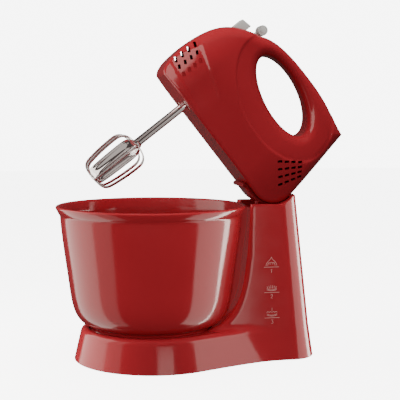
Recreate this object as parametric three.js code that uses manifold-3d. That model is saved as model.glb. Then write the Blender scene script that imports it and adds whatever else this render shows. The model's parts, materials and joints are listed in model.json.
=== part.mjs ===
// A hand mixer on its tilting stand, head up, over its bowl.
// Millimetres, +Z up. X runs from the bowl to the column, and the mixer is symmetric about Y = 0.
import * as THREE from 'three';
import { mergeVertices } from 'three/addons/utils/BufferGeometryUtils.js';
import Module from 'manifold-3d';

const wasm = await Module();
wasm.setup();
const { PI, sin, cos } = Math;
const rad = THREE.MathUtils.degToRad;
const vec = (x, y) => new THREE.Vector2(x, y);

// ---- driving dimensions -----------------------------------------------------------------
const WALL = 2.6; // moulded shells
const GAP = 0.35; // between pieces that touch
const OPEN_ANGLE = 52; // head tilt as it stands, from the closed position

// stand, measured from the bowl's axis
const PIVOT = vec(135.7, 203); // X, Z of the tilt axis, inside the mixer's rear corner
const BASE_TOP = 36;
const BASE_BOTTOM = -4;
const BASE_R = 92.8; // plan circle of the base at the bottom
const BASE_CENTRE = 4;
const BASE_INSET = 11.8; // how far the side leans in at the top
const COLUMN_HALF = 47.5; // half width at the bottom
const COLUMN_HALF_TOP = 39;
const COLUMN_REAR = 185.5;
const COLUMN_REAR_TOP = 165.2;
const COLUMN_TOP = 184;
const SEAT_R = 31.2; // concave seat about the tilt axis, for the cradle
const SEAT_HALF = 26.6;
const TABLE_R = 70; // turntable
const TABLE_Z = 29;

// bowl
const BOWL_FOOT_Z = 33.2;
const BOWL_RIM_Z = 173.5;
const BOWL_RIM_R = 107.6;
const BOWL_WALL = 2.3;

// mixer, measured from the tilt axis in the closed position: x to the rear, z up
const CORNER_R = 27.5; // rounded rear corner of the housing, about the tilt axis
const HALF_WIDTH = 41;
const BEATER_X = -125;
const BEATER_Y = 20.5;
const MOTOR_Z = 7;
const SHAFT_R = 3; // beater shaft
const BLADE_R = 21.2; // basket of the beater
const BLADE_THICK = 1.7;
const BLADE_WIDTH = 8;
const BASKET_TOP = -97;
const BASKET_LOW = -158;
const SOCKET_R = 6.4; // outside of the sleeve that carries a beater
const GEAR_LOW = 2.5;
const GEAR_HIGH = 11.5;

// worm drive: a two-start worm between two worm wheels
const WORM_STARTS = 2;
const WHEEL_TEETH = 24;
const WORM_PITCH_R = 4.6;
const WHEEL_PITCH_R = BEATER_Y - WORM_PITCH_R;
const AXIAL_PITCH = (2 * PI * WHEEL_PITCH_R) / WHEEL_TEETH;
const WORM_LEAD = WORM_STARTS * AXIAL_PITCH;
const TOOTH = 0.9; // half of the working depth

// ---- colours ----------------------------------------------------------------------------
const finish = (color, roughness, metalness = 0) =>
  new THREE.MeshStandardMaterial({ color, roughness, metalness });
const RED = finish(0x9a1b20, 0.2);
const GREY = finish(0xb9bfba, 0.45);
const CHROME = finish(0xd8dadc, 0.08, 1);
const STEEL = finish(0x9a9ea3, 0.4, 1);
const IRON = finish(0x5c5f63, 0.5, 1);
const COPPER = finish(0xb06a3a, 0.4, 1);
const BRASS = finish(0xb08d4a, 0.35, 1);
const NYLON = finish(0xe6e3d8, 0.5);
const BLACK = finish(0x1c1c1e, 0.6);
const RUBBER = finish(0x242424, 0.9);

// ---- solids -----------------------------------------------------------------------------
function solid(geometry) {
  const bare = geometry.clone();
  bare.deleteAttribute('normal');
  bare.deleteAttribute('uv');
  const merged = mergeVertices(bare, 1e-4);
  const made = new wasm.Manifold(new wasm.Mesh({
    numProp: 3,
    vertProperties: merged.attributes.position.array,
    triVerts: Uint32Array.from(merged.index.array),
  }));
  if (made.volume() <= 0) throw new Error('a solid is inside out');
  return made;
}

function geometryOf(made) {
  const mesh = made.getMesh();
  const geometry = new THREE.BufferGeometry();
  geometry.setAttribute('position', new THREE.BufferAttribute(mesh.vertProperties, 3));
  geometry.setIndex(new THREE.BufferAttribute(mesh.triVerts, 1));
  geometry.computeVertexNormals();
  return geometry;
}

const union = (...parts) => parts.reduce((sum, part) => sum.add(part));
const cut = (whole, ...parts) => parts.reduce((rest, part) => rest.subtract(part), whole);

function block(x0, x1, y0, y1, z0, z1) {
  const box = new THREE.BoxGeometry(x1 - x0, y1 - y0, z1 - z0);
  return solid(box.translate((x0 + x1) / 2, (y0 + y1) / 2, (z0 + z1) / 2));
}

// A drawn shape pushed along an axis. Its own x and y are the other two axes, in order.
function prism(shape, axis, from, to, options = {}) {
  const drawn = new THREE.ExtrudeGeometry(shape, {
    depth: to - from, bevelEnabled: false, curveSegments: 7, ...options,
  });
  if (axis === 'y') drawn.rotateX(PI / 2).translate(0, to, 0);
  else if (axis === 'x') {
    const turn = new THREE.Matrix4().makeBasis(
      new THREE.Vector3(0, 1, 0), new THREE.Vector3(0, 0, 1), new THREE.Vector3(1, 0, 0));
    drawn.applyMatrix4(turn).translate(from, 0, 0);
  } else drawn.translate(0, 0, from);
  return drawn;
}

// A profile of [radius, height] points turned about Z. One that stays off the axis is closed.
function lathe(profile, segments = 40) {
  const points = profile.map(([r, z]) => vec(r, z));
  if (points[0].x > 0 || points.at(-1).x > 0) points.push(points[0].clone());
  if (THREE.ShapeUtils.area(points) <= 0) points.reverse();
  return new THREE.LatheGeometry(points, segments).rotateX(PI / 2);
}

const rod = (r, z0, z1, segments = 18) => lathe([[0, z0], [r, z0], [r, z1], [0, z1]], segments);
const ring = (outer, inner, z0, z1, segments = 18) =>
  lathe([[inner, z0], [outer, z0], [outer, z1], [inner, z1]], segments);
const alongX = (geometry, x, y, z) => geometry.rotateY(PI / 2).translate(x, y, z);
const alongY = (geometry, x, y, z) => geometry.rotateX(-PI / 2).translate(x, y, z);
const rodX = (r, x0, x1, y, z, segments) => solid(alongX(rod(r, x0, x1, segments), 0, y, z));
const rodY = (r, y0, y1, x, z, segments) => solid(alongY(rod(r, y0, y1, segments), x, 0, z));
const rodZ = (r, x, y, z0, z1, segments) => solid(rod(r, z0, z1, segments).translate(x, y, 0));

// Turns each slice of a prism along Z about its axis, in proportion to its height.
function twist(geometry, perUnit) {
  const at = geometry.attributes.position;
  for (let i = 0; i < at.count; i++) {
    const angle = at.getZ(i) * perUnit;
    const [x, y] = [at.getX(i), at.getY(i)];
    at.setXY(i, x * cos(angle) - y * sin(angle), x * sin(angle) + y * cos(angle));
  }
  return geometry;
}

function polygon(points) {
  return new THREE.Shape(points.map(([x, y]) => vec(x, y)));
}

// ---- scene graph ------------------------------------------------------------------------
const mixer = new THREE.Group();
mixer.position.set(PIVOT.x, 0, PIVOT.y);
mixer.rotation.y = rad(OPEN_ANGLE);
const whole = new THREE.Group();
whole.add(mixer);

function place(parent, name, made, material) {
  const geometry = made instanceof THREE.BufferGeometry ? made : geometryOf(made);
  const mesh = new THREE.Mesh(geometry, material);
  mesh.name = name;
  parent.add(mesh);
}

const sides = [['left', 1], ['right', -1]];

// ---- mixer housing ----------------------------------------------------------------------
// Handle opening: an ellipse that leans down to the rear.
const HANDLE = { x: -65.4, z: 67.1, long: 49.5, short: 22.3, lean: rad(-10.3) };

function sideOutline() {
  const outline = new THREE.Shape();
  outline.moveTo(-168, -CORNER_R);
  outline.lineTo(0, -CORNER_R);
  outline.absarc(0, 0, CORNER_R, -PI / 2, 0, false);
  outline.quadraticCurveTo(23.6, 44, 14.7, 98.2);
  outline.bezierCurveTo(-5, 98.2, -20, 105.8, -52, 106.2);
  outline.bezierCurveTo(-95, 106.7, -119, 101.6, -132, 90.6);
  outline.bezierCurveTo(-149, 80.2, -170, 70, -176.2, 38.4);
  outline.bezierCurveTo(-178.8, 22, -179.2, 6, -177, -10);
  outline.quadraticCurveTo(-174.5, -25, -168, -CORNER_R);
  const hole = new THREE.Path();
  hole.absellipse(HANDLE.x, HANDLE.z, HANDLE.long, HANDLE.short, 0, 2 * PI, true, HANDLE.lean);
  outline.holes.push(hole);
  return outline;
}

// Half section across the mixer: full width around the motor, narrow at the grip.
function crossSection(inset) {
  const half = [
    [HALF_WIDTH - 2.5, -CORNER_R], [HALF_WIDTH, -CORNER_R + 3.5],
    [HALF_WIDTH, 16], [HALF_WIDTH - 2, 32], [HALF_WIDTH - 9, 52], [25, 72], [21, 90],
    [17, 101], [10, 109.5],
  ];
  const tops = half.map(([y, z]) => [y - inset, z]);
  return polygon([...tops, ...tops.map(([y, z]) => [-y, z]).reverse()]);
}

// Plan of the mixer: rounded at the nose, narrower at the tail.
function planView(inset) {
  const half = [
    [-181, 16], [-178, 26], [-171, 34], [-158, 39.5], [-140, HALF_WIDTH], [-25, HALF_WIDTH],
    [0, 38.5], [18, 34], [30, 28],
  ];
  const tops = half.map(([x, y]) => [x, y - inset]);
  return polygon([...tops, ...tops.map(([x, y]) => [x, -y]).reverse()]);
}

function housingForm(inset) {
  const side = prism(sideOutline(), 'y', -60, 60, inset && {
    bevelEnabled: true, bevelThickness: 0.01, bevelSize: 0, bevelOffset: -inset, bevelSegments: 1,
  });
  const across = prism(crossSection(inset), 'x', -200, 60);
  const plan = prism(planView(inset), 'z', -60, 130);
  return solid(side).intersect(solid(across)).intersect(solid(plan));
}

const SCREWS = [[-167, -15], [-1, -8], [0, 80], [-120, 89]];
const SCREW_SEAT = 8;

// Front vents: see-through slots in two rows down the nose.
function frontVents() {
  const slots = [];
  for (const [x, low, pitch, length] of [[-172.6, -6.8, 9.1, 6.6], [-164.4, -9.2, 8.4, 5]])
    for (let k = 0; k < 4; k++) {
      const slot = new THREE.BoxGeometry(length, 120, 3).rotateY(rad(31));
      slots.push(solid(slot.translate(x, 0, low + pitch * k)));
    }
  return union(...slots);
}

// Rear vents: four fanned rows of four slots in each side wall.
function rearVents() {
  const slots = [];
  const mix = THREE.MathUtils.lerp;
  for (let row = 0; row < 4; row++)
    for (let n = 0; n < 4; n++) {
      const [u, v] = [n / 3, row / 3];
      const x = mix(mix(-13.2, 2.9, u), mix(8.1, 15.6, u), v);
      const z = mix(mix(15.4, 34.2, u), mix(0.8, 23.8, u), v);
      const lean = mix(rad(-56), rad(-69), v);
      for (const y of [-1, 1]) {
        const slot = new THREE.BoxGeometry(5.6, 30, 2.6).rotateY(lean);
        slots.push(solid(slot.translate(x, y * 42, z)));
      }
    }
  return union(...slots);
}

function makeHousing() {
  const outer = housingForm(0);
  const hollow = housingForm(WALL);
  const bosses = union(...SCREWS.map(([x, z]) => rodY(4.4, -40, 40, x, z, 12))).intersect(outer);
  const screwHoles = union(...SCREWS.map(([x, z]) =>
    union(rodY(3.7, SCREW_SEAT, 60, x, z, 12), rodY(1.9, -11, SCREW_SEAT, x, z, 12))));
  const sockets = union(...sides.map(([, y]) =>
    rodZ(SOCKET_R + GAP + 0.3, BEATER_X, y * BEATER_Y, -40, -20, 24)));
  const pegs = block(-13 - GAP, -7 + GAP, -19 - GAP, 19 + GAP, -40, -20);
  const button = block(-161.5, -148, -8 - GAP, 8 + GAP, 60, 100);
  const lever = block(-143, -129.5, -3.2, 3.2, 78, 110);
  const gland = rodX(5.2, 5, 40, 0, 62, 20);
  const shell = cut(union(cut(outer, hollow), bosses), screwHoles, sockets, pegs, button, lever,
    gland, frontVents(), rearVents());
  for (const [side, y] of sides) {
    const half = block(-300, 300, y > 0 ? GAP / 2 : -100, y > 0 ? 100 : -GAP / 2, -100, 200);
    place(mixer, `housing_${side}`, shell.intersect(half), RED);
  }
}

function makeScrews() {
  SCREWS.forEach(([x, z], i) => {
    const screw = union(rodY(1.5, -9, SCREW_SEAT + 1, x, z, 10),
      rodY(3.2, SCREW_SEAT + GAP, SCREW_SEAT + 2.6, x, z, 12));
    place(mixer, `housing_screw_${i + 1}`, screw, STEEL);
  });
}

// ---- buttons ----------------------------------------------------------------------------
const FORK_Z = 21.5;

function makeEjector() {
  const cap = polygon([[-161, 70], [-148.5, 70], [-148.5, 87], [-150, 88.6], [-159.6, 86], [-161, 84]]);
  place(mixer, 'eject_button', solid(prism(cap, 'y', -8, 8)), GREY);
  const stem = block(-160, -154, -2.5, 2.5, FORK_Z, 70 - GAP);
  const bar = block(-160, -120, -26, 26, FORK_Z, FORK_Z + 3);
  place(mixer, 'ejector_fork', union(stem, cut(bar, block(-150, -110, -13, 13, 0, 40))), NYLON);
  // the return spring is a coil around a guide post, shown as its outer sleeve
  const spring = ring(6.2, 4.8, 42, 54, 20).translate(-157, 0, 0);
  place(mixer, 'ejector_spring', spring, STEEL);
  const shelf = cut(block(-164, -150, -10, 10, 39.5, 41.5), block(-160.6, -153.4, -3, 3, 30, 50));
  place(mixer, 'spring_shelf', shelf, NYLON);
}

function makeSpeedControl() {
  const knob = rodY(6, -6.5, 6.5, -136.8, 96.2, 24);
  const stem = block(-139.5, -134, -2.4, 2.4, 78, 95);
  const hub = rodY(4, -2.4, 2.4, -136.8, 77, 20);
  const bore = rodY(1.9, -4, 4, -136.8, 77, 16);
  place(mixer, 'speed_lever', cut(union(knob, stem, hub), bore), GREY);
  place(mixer, 'lever_pin', rodY(1.5, -9, 9, -136.8, 77, 16), STEEL);
  const body = block(-132, -119.5, -7, 7, 59, 74);
  place(mixer, 'speed_switch', body, BLACK);
}

// ---- motor ------------------------------------------------------------------------------
const ROTOR_R = 12.6;
const STATOR = { from: -92, to: -60, half: 22.5 };

function makeStator() {
  const { from, to, half } = STATOR;
  const frame = block(from, to, -half, half, MOTOR_Z - half, MOTOR_Z + half);
  const bore = rodX(ROTOR_R + 0.7, from - 5, to + 5, 0, MOTOR_Z, 32);
  const slots = [1, -1].map((k) =>
    block(from - 5, to + 5, -13, 13, MOTOR_Z + (k > 0 ? 12 : -18.5), MOTOR_Z + (k > 0 ? 18.5 : -12)));
  place(mixer, 'stator_core', cut(frame, bore, ...slots), IRON);
  [['upper', 1], ['lower', -1]].forEach(([name, k]) => {
    const low = MOTOR_Z + (k > 0 ? 14 : -18);
    const coil = block(from - 6, to + 6, -12.5, 12.5, low, low + 4);
    place(mixer, `field_coil_${name}`, coil, COPPER);
  });
}

function wormGeometry(from, to) {
  const half = PI / WORM_STARTS;
  const points = [];
  const perStart = 8;
  for (let i = 0; i < perStart * WORM_STARTS; i++) {
    const angle = (i / (perStart * WORM_STARTS)) * 2 * PI;
    const phase = Math.abs(((angle / half) % 2) - 1); // 1 at a groove, 0 at a crest
    const height = THREE.MathUtils.clamp(1.5 - 3.1 * phase, -1, 1);
    points.push(vec(cos(angle), sin(angle)).multiplyScalar(WORM_PITCH_R + TOOTH * height));
  }
  const length = to - from;
  const shape = new THREE.Shape(points);
  const raw = new THREE.ExtrudeGeometry(shape, {
    depth: length, steps: Math.round(length / 0.75), bevelEnabled: false,
  });
  return twist(raw.translate(0, 0, -length / 2), (2 * PI) / WORM_LEAD);
}

function makeRotor() {
  const worm = solid(alongX(wormGeometry(-12, 12), BEATER_X, 0, MOTOR_Z));
  const shaft = union(worm, rodX(2.5, -149, -10, 0, MOTOR_Z, 20));
  place(mixer, 'rotor_shaft', shaft, STEEL);
  const core = alongX(ring(ROTOR_R, 2.5 + GAP, STATOR.from, STATOR.to, 24), 0, 0, MOTOR_Z);
  place(mixer, 'rotor_core', core, IRON);
  place(mixer, 'commutator', alongX(ring(8, 2.5 + GAP, -53, -43), 0, 0, MOTOR_Z), COPPER);
  const blades = [];
  for (let i = 0; i < 8; i++) {
    const blade = new THREE.BoxGeometry(7, 1.2, 15).translate(-21, 0, 14);
    blades.push(solid(blade.rotateX((i / 8) * 2 * PI).translate(0, 0, MOTOR_Z)));
  }
  const disc = solid(alongX(ring(21, 2.5 + GAP, -26, -24), 0, 0, MOTOR_Z));
  const hub = solid(alongX(ring(7, 2.5 + GAP, -26, -17), 0, 0, MOTOR_Z));
  place(mixer, 'cooling_fan', union(disc, hub, ...blades), BLACK);
}

function makeBearings() {
  const bush = (x0, x1) => alongX(ring(6, 2.5 + 0.08, x0, x1), 0, 0, MOTOR_Z);
  place(mixer, 'front_bush', bush(-148, -143), BRASS);
  place(mixer, 'middle_bush', bush(-107, -102), BRASS);
  place(mixer, 'rear_bush', bush(-39, -34), BRASS);
  const arm = (x0, x1) => cut(block(x0, x1, -24, 24, MOTOR_Z - 22, MOTOR_Z + 6),
    rodX(6 + GAP, x0 - 5, x1 + 5, 0, MOTOR_Z, 24));
  place(mixer, 'rear_bracket', arm(-38, -35), STEEL);
  for (const [side, y] of sides) {
    const holder = block(-52, -44, Math.min(y * 8.4, y * 20), Math.max(y * 8.4, y * 20),
      MOTOR_Z - 4, MOTOR_Z + 4);
    place(mixer, `brush_holder_${side}`, holder, BRASS);
  }
  const floor = block(-148, -102, -36, 36, -11, -7.5);
  const walls = [[-147, -144], [-106, -103]].map(([x0, x1]) =>
    block(x0, x1, -13, 13, -11, MOTOR_Z + 8));
  const holes = [rodX(6 + GAP, -160, -95, 0, MOTOR_Z, 24), ...sides.map(([, y]) =>
    rodZ(SOCKET_R + 0.3, BEATER_X, y * BEATER_Y, -30, 0, 24))];
  place(mixer, 'gear_frame', cut(union(floor, ...walls), ...holes), STEEL);
}

// ---- worm wheels and beaters ------------------------------------------------------------
function wheelGeometry() {
  const points = [];
  const pitch = (2 * PI) / WHEEL_TEETH;
  const root = WHEEL_PITCH_R - TOOTH - 0.5;
  const tip = WHEEL_PITCH_R + TOOTH - 0.25;
  for (let i = 0; i < WHEEL_TEETH; i++)
    for (const [r, part] of [[root, -0.3], [tip, -0.1], [tip, 0.1], [root, 0.3]]) {
      const angle = (i + part) * pitch;
      points.push(vec(r * cos(angle), r * sin(angle)));
    }
  const width = GEAR_HIGH - GEAR_LOW;
  const raw = new THREE.ExtrudeGeometry(new THREE.Shape(points), {
    depth: width, steps: 3, bevelEnabled: false,
  });
  return twist(raw.translate(0, 0, -width / 2), WORM_LEAD / (2 * PI * WORM_PITCH_R) / WHEEL_PITCH_R);
}

function makeWheels() {
  const phase = WHEEL_TEETH % 4 ? 1 : 0.5; // in teeth: sets a tooth space against the worm
  for (const [side, y] of sides) {
    const turn = phase * ((2 * PI) / WHEEL_TEETH);
    const teeth = solid(wheelGeometry().rotateZ(turn).translate(0, 0, (GEAR_LOW + GEAR_HIGH) / 2));
    const sleeve = solid(rod(SOCKET_R, -26.5, 14.5, 24));
    const bore = solid(rod(SHAFT_R + 0.08, -30, 20, 20));
    const wheel = cut(union(teeth, sleeve), bore).translate([BEATER_X, y * BEATER_Y, 0]);
    place(mixer, `worm_wheel_${side}`, wheel, NYLON);
  }
}

// One blade pair is a closed strip loop in a plane through the shaft.
function bladeLoop() {
  const loop = (inset) => {
    const r = BLADE_R - inset;
    const [high, low] = [BASKET_TOP - inset, BASKET_LOW + inset];
    const edge = new THREE.Path();
    edge.moveTo(0, high);
    edge.bezierCurveTo(r * 0.6, high, r, high - 3, r, high - 14);
    edge.bezierCurveTo(r, high - 30, r * 0.93, low + 18, r * 0.86, low + 10);
    edge.bezierCurveTo(r * 0.78, low + 1, r * 0.5, low, 0, low);
    const right = edge.getPoints(5);
    const left = right.slice(1, -1).reverse().map((p) => vec(-p.x, p.y));
    return [...right, ...left];
  };
  const outline = new THREE.Shape(loop(0));
  outline.holes.push(new THREE.Path(loop(BLADE_THICK).reverse()));
  return prism(outline, 'y', -BLADE_WIDTH / 2, BLADE_WIDTH / 2);
}

const BEATER_TURN = rad(-22); // equal and turning opposite ways, so that the blades pass each other

function makeBeaters() {
  for (const [side, y] of sides) {
    const loops = [0, PI / 2].map((angle) => solid(bladeLoop().rotateZ(angle + BEATER_TURN)));
    const shaft = solid(rod(SHAFT_R, -157, 10, 20));
    const hubs = [solid(rod(4.6, -99.5, -94, 20)), solid(rod(4.6, -159, -154.5, 20))];
    const beater = union(...loops, shaft, ...hubs).translate([BEATER_X, y * BEATER_Y, 0]);
    place(mixer, `beater_${side}`, beater, CHROME);
  }
}

function makeGland() {
  place(mixer, 'cord_gland', alongX(lathe([[2.8, 10], [8.5, 10], [8.5, 12], [4.9, 12], [4.9, 19.5],
    [2.8, 19.5]], 20), 0, 0, 62), RUBBER);
}

// ---- tilt cradle ------------------------------------------------------------------------
const CRADLE_IN = CORNER_R + GAP;
const CRADLE_OUT = SEAT_R - 0.7;
const CRADLE_HALF = SEAT_HALF - 0.6;
const GUIDE_R = 44; // arc that the guide pin runs on
const PIN_R = 2;
const SWING_MIDDLE = -PI / 2 + rad(6); // the stem swings further to the rear than to the front
const STEM_ANGLE = SWING_MIDDLE + rad(OPEN_ANGLE / 2);
const polar = (r, angle) => vec(r * cos(angle), r * sin(angle));

function makeCradle() {
  const shell = new THREE.Shape();
  const end = rad(6);
  shell.moveTo(-13, -CRADLE_IN);
  shell.lineTo(0, -CRADLE_IN);
  shell.absarc(0, 0, CRADLE_IN, -PI / 2, end, false);
  shell.lineTo(...polar(CRADLE_OUT, end).toArray());
  shell.absarc(0, 0, CRADLE_OUT, end, -PI / 2, true);
  shell.lineTo(-10, -CRADLE_OUT);
  shell.quadraticCurveTo(-15, -CRADLE_OUT + 0.5, -13, -CRADLE_IN);
  const stem = new THREE.BoxGeometry(6.4, 14, 19).translate(0, 0, -(CRADLE_OUT + 7.5))
    .rotateY(-(STEM_ANGLE + PI / 2));
  const pinAt = polar(GUIDE_R, STEM_ANGLE);
  const pegs = sides.map(([, y]) =>
    block(-13, -7, Math.min(y * 10, y * 19), Math.max(y * 10, y * 19), -CRADLE_IN - 1, -21));
  const pinHole = rodY(PIN_R + GAP, -20, 20, pinAt.x, pinAt.y, 16);
  const knuckle = rodY(2.6, -CRADLE_HALF, CRADLE_HALF, -14.5, -30.6, 16);
  const body = union(solid(prism(shell, 'y', -CRADLE_HALF, CRADLE_HALF)), knuckle, ...pegs);
  place(mixer, 'tilt_cradle', cut(union(body, solid(stem)), pinHole), RED);
  place(mixer, 'guide_pin', rodY(PIN_R, -15, 15, pinAt.x, pinAt.y, 16), STEEL);
}

// Fixed plates in the column, each with an arc slot about the tilt axis.
function makeGuides() {
  const reach = rad(OPEN_ANGLE / 2);
  const arcBand = (r0, r1, angle) => {
    const band = new THREE.Shape();
    band.absarc(0, 0, r1, SWING_MIDDLE - angle, SWING_MIDDLE + angle, false);
    band.absarc(0, 0, r0, SWING_MIDDLE + angle, SWING_MIDDLE - angle, true);
    return band;
  };
  const plate = arcBand(GUIDE_R - 4.8, GUIDE_R + 8, reach - rad(1));
  for (const [side, y] of sides) {
    const [near, far] = [Math.min(y * 8.5, y * 11.5), Math.max(y * 8.5, y * 11.5)];
    const sheet = solid(prism(plate, 'y', near, far));
    const track = arcBand(GUIDE_R - PIN_R - 0.6, GUIDE_R + PIN_R + 0.6, reach + rad(4));
    const slot = solid(prism(track, 'y', -40, 40));
    const tie = block(-14, 14, near, far, -GUIDE_R - 12, -GUIDE_R - 5);
    const made = union(cut(sheet, slot), tie);
    const [biggest] = made.decompose().sort((a, b) => b.volume() - a.volume());
    place(whole, `guide_plate_${side}`, biggest.translate([PIVOT.x, 0, PIVOT.y]), STEEL);
  }
  const leaf = polygon([[-12, -64], [12, -64], [12, -62.5], [4, -62], [0, -59.2], [-4, -62], [-12, -62.5]]);
  place(whole, 'detent_spring',
    solid(prism(leaf, 'y', -6, 6)).translate([PIVOT.x, 0, PIVOT.y]), STEEL);
}

// ---- stand ------------------------------------------------------------------------------
function basePlan(inset) {
  const plan = new THREE.Shape();
  const flank = rad(65);
  const r = BASE_R - inset;
  const half = COLUMN_HALF - inset;
  const rear = COLUMN_REAR - inset;
  const start = vec(BASE_CENTRE + r * cos(flank), r * sin(flank));
  const waist = start.x + (start.y - half) / Math.tan(PI / 2 - flank);
  plan.absarc(BASE_CENTRE, 0, r, flank, 2 * PI - flank, false);
  plan.quadraticCurveTo(waist, -half, waist + 28, -half);
  plan.lineTo(rear - 34, -half);
  plan.bezierCurveTo(rear - 10, -half, rear, -half * 0.6, rear, 0);
  plan.bezierCurveTo(rear, half * 0.6, rear - 10, half, rear - 34, half);
  plan.lineTo(waist + 28, half);
  plan.quadraticCurveTo(waist, half, start.x, start.y);
  return plan;
}

function baseForm(inset) {
  const levels = [[BASE_BOTTOM - 2 * inset, 0], [BASE_TOP - 12, 6.8], [BASE_TOP - 5, 8.3],
    [BASE_TOP - 1.5, 10.3], [BASE_TOP, BASE_INSET]].map(([z, lean]) => [z - inset, lean]);
  const layers = levels.slice(1).map(([z1, lean1], i) => {
    const [z0, lean0] = levels[i];
    return hullBetween(basePlan(inset + lean0), z0, basePlan(inset + lean1), z1);
  });
  return union(...layers);
}

// A solid between two outlines with the same number of points, at two heights.
function hullBetween(lower, z0, upper, z1) {
  const geometry = prism(lower, 'z', z0, z1, { curveSegments: 8 });
  const from = lower.extractPoints(8).shape;
  const to = upper.extractPoints(8).shape;
  const at = geometry.attributes.position;
  for (let i = 0; i < at.count; i++) {
    if (at.getZ(i) < (z0 + z1) / 2) continue;
    const here = vec(at.getX(i), at.getY(i));
    const n = from.findIndex((p) => p.distanceTo(here) < 1e-3);
    at.setXY(i, to[n].x, to[n].y);
  }
  return solid(geometry);
}

function columnPlan(half, rear) {
  const plan = new THREE.Shape();
  plan.moveTo(60, -half);
  plan.lineTo(rear - 30, -half);
  plan.bezierCurveTo(rear - 9, -half, rear, -half * 0.6, rear, 0);
  plan.bezierCurveTo(rear, half * 0.6, rear - 9, half, rear - 30, half);
  plan.lineTo(60, half);
  return plan;
}

// The side flanges of the column sweep out into the base in a quarter curve.
function sweepProfile(inset) {
  const profile = new THREE.Shape();
  profile.moveTo(45, BASE_BOTTOM);
  profile.lineTo(45, BASE_TOP - inset);
  profile.bezierCurveTo(85 + inset, BASE_TOP + 1 - inset, 96 + inset, 55, 104 + inset, 118);
  profile.lineTo(107 + inset, 200);
  profile.lineTo(200, 200);
  profile.lineTo(200, BASE_BOTTOM);
  return profile;
}

function columnForm(inset) {
  const body = hullBetween(columnPlan(COLUMN_HALF - inset, COLUMN_REAR - inset), BASE_BOTTOM - inset * 3,
    columnPlan(COLUMN_HALF_TOP - inset, COLUMN_REAR_TOP - inset), COLUMN_TOP);
  const swept = solid(prism(sweepProfile(inset), 'y', -80, 80));
  const reach = [[38, 76], [47, 86], [60, 95], [88, 102], [124, 107.5], [158, 111], [200, 112]]
    .map(([z, r]) => [r + inset, z]);
  const clearance = solid(lathe([[0, 38], ...reach, [0, 200]], 56));
  return cut(body.intersect(swept), clearance);
}

// Everything above the column's flat front shelf and above the concave seat behind it.
function seatCut(r, front, shelf, half) {
  const profile = new THREE.Shape();
  profile.moveTo(-80, -shelf);
  profile.lineTo(front, -shelf);
  profile.lineTo(front, -r);
  profile.lineTo(0, -r);
  profile.absarc(0, 0, r, -PI / 2, rad(-20), false);
  profile.lineTo(80, -10);
  profile.lineTo(80, 40);
  profile.lineTo(-80, 40);
  return solid(prism(profile, 'y', -half, half)).translate([PIVOT.x, 0, PIVOT.y]);
}

// The cradle sits in a deeper channel, between walls that come up to the housing.
const seatForm = (inset) => union(
  seatCut(CORNER_R + 0.7 + inset, -2, CORNER_R + 0.4 + inset, 80),
  seatCut(SEAT_R + inset, -6 + inset, SEAT_R + 2.7 + inset, SEAT_HALF + inset));

function makeStand() {
  const outer = union(baseForm(0), columnForm(0));
  const hollow = union(baseForm(WALL), cut(columnForm(WALL), seatForm(WALL)));
  const recess = rodZ(TABLE_R + 1.5, 0, 0, TABLE_Z - 1, 60, 48);
  const recessWall = rodZ(TABLE_R + 1.5 + WALL, 0, 0, TABLE_Z - 1 - WALL, 60, 48);
  const spindle = rodZ(6.5, 0, 0, 0, 60, 24);
  const slot = block(PIVOT.x - 17, PIVOT.x + 24, -8, 8, 150, 200);
  const shell = cut(outer, seatForm(0), cut(hollow, recessWall), recess, spindle, slot);
  const floor = block(-200, 300, -200, 200, BASE_BOTTOM + 2, 300);
  const [biggest] = shell.intersect(floor).decompose().sort((a, b) => b.volume() - a.volume());
  place(whole, 'stand_shell', biggest, RED);
}

function makeUnderside() {
  const plate = prism(basePlan(0.6), 'z', BASE_BOTTOM, BASE_BOTTOM + 2 - GAP, { curveSegments: 8 });
  place(whole, 'bottom_cover', plate, BLACK);
  const spots = [[-52, 52], [-52, -52], [158, 30], [158, -30]];
  spots.forEach(([x, y], i) =>
    place(whole, `foot_${i + 1}`, rodZ(8, x, y, BASE_BOTTOM - 2, BASE_BOTTOM - GAP, 20), RUBBER));
  const [low, high] = [BASE_BOTTOM + 2, TABLE_Z - 1.2];
  const spindle = lathe([[0, low], [20, low], [20, low + 3], [5.8, low + 3], [5.8, high], [0, high]], 24);
  place(whole, 'turntable_post', spindle, NYLON);
}

function makeTurntable() {
  const profile = [[0, TABLE_Z], [TABLE_R, TABLE_Z], [TABLE_R, TABLE_Z + 6], [TABLE_R - 2, TABLE_Z + 6],
    [TABLE_R - 2, BOWL_FOOT_Z - GAP], [0, BOWL_FOOT_Z - GAP]];
  place(whole, 'turntable', lathe(profile, 48), RED);
}

function makeBowl() {
  const [foot, rim] = [BOWL_FOOT_Z, BOWL_RIM_Z];
  const outer = [[60, foot], [67, foot], [67.5, 37], [77, 41], [84, 47], [88.8, 57],
    [91.2, 70], [94.8, 96], [98.9, 124], [102.6, rim - 11.5], [104.4, rim - 8.5],
    [BOWL_RIM_R, rim - 1.8], [BOWL_RIM_R - 1.2, rim - 0.2], [BOWL_RIM_R - 2.2, rim]];
  const inner = [[BOWL_RIM_R - 3.8, rim - 0.8], [100.4, rim - 9], [96.6, 124], [92.5, 96],
    [88.8, 70], [85.9, 57.6], [80.4, 47.4], [71, 41.9], [58, 39.1], [0, 38.5]];
  const under = [[0, 38.5 - BOWL_WALL], [56, 38.5 - BOWL_WALL], [60, 36]];
  place(whole, 'bowl', lathe([...under, ...outer, ...inner], 56), RED);
}

makeHousing();
makeScrews();
makeEjector();
makeSpeedControl();
makeStator();
makeRotor();
makeBearings();
makeWheels();
makeBeaters();
makeGland();
makeCradle();
makeGuides();
makeStand();
makeUnderside();
makeTurntable();
makeBowl();

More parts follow.
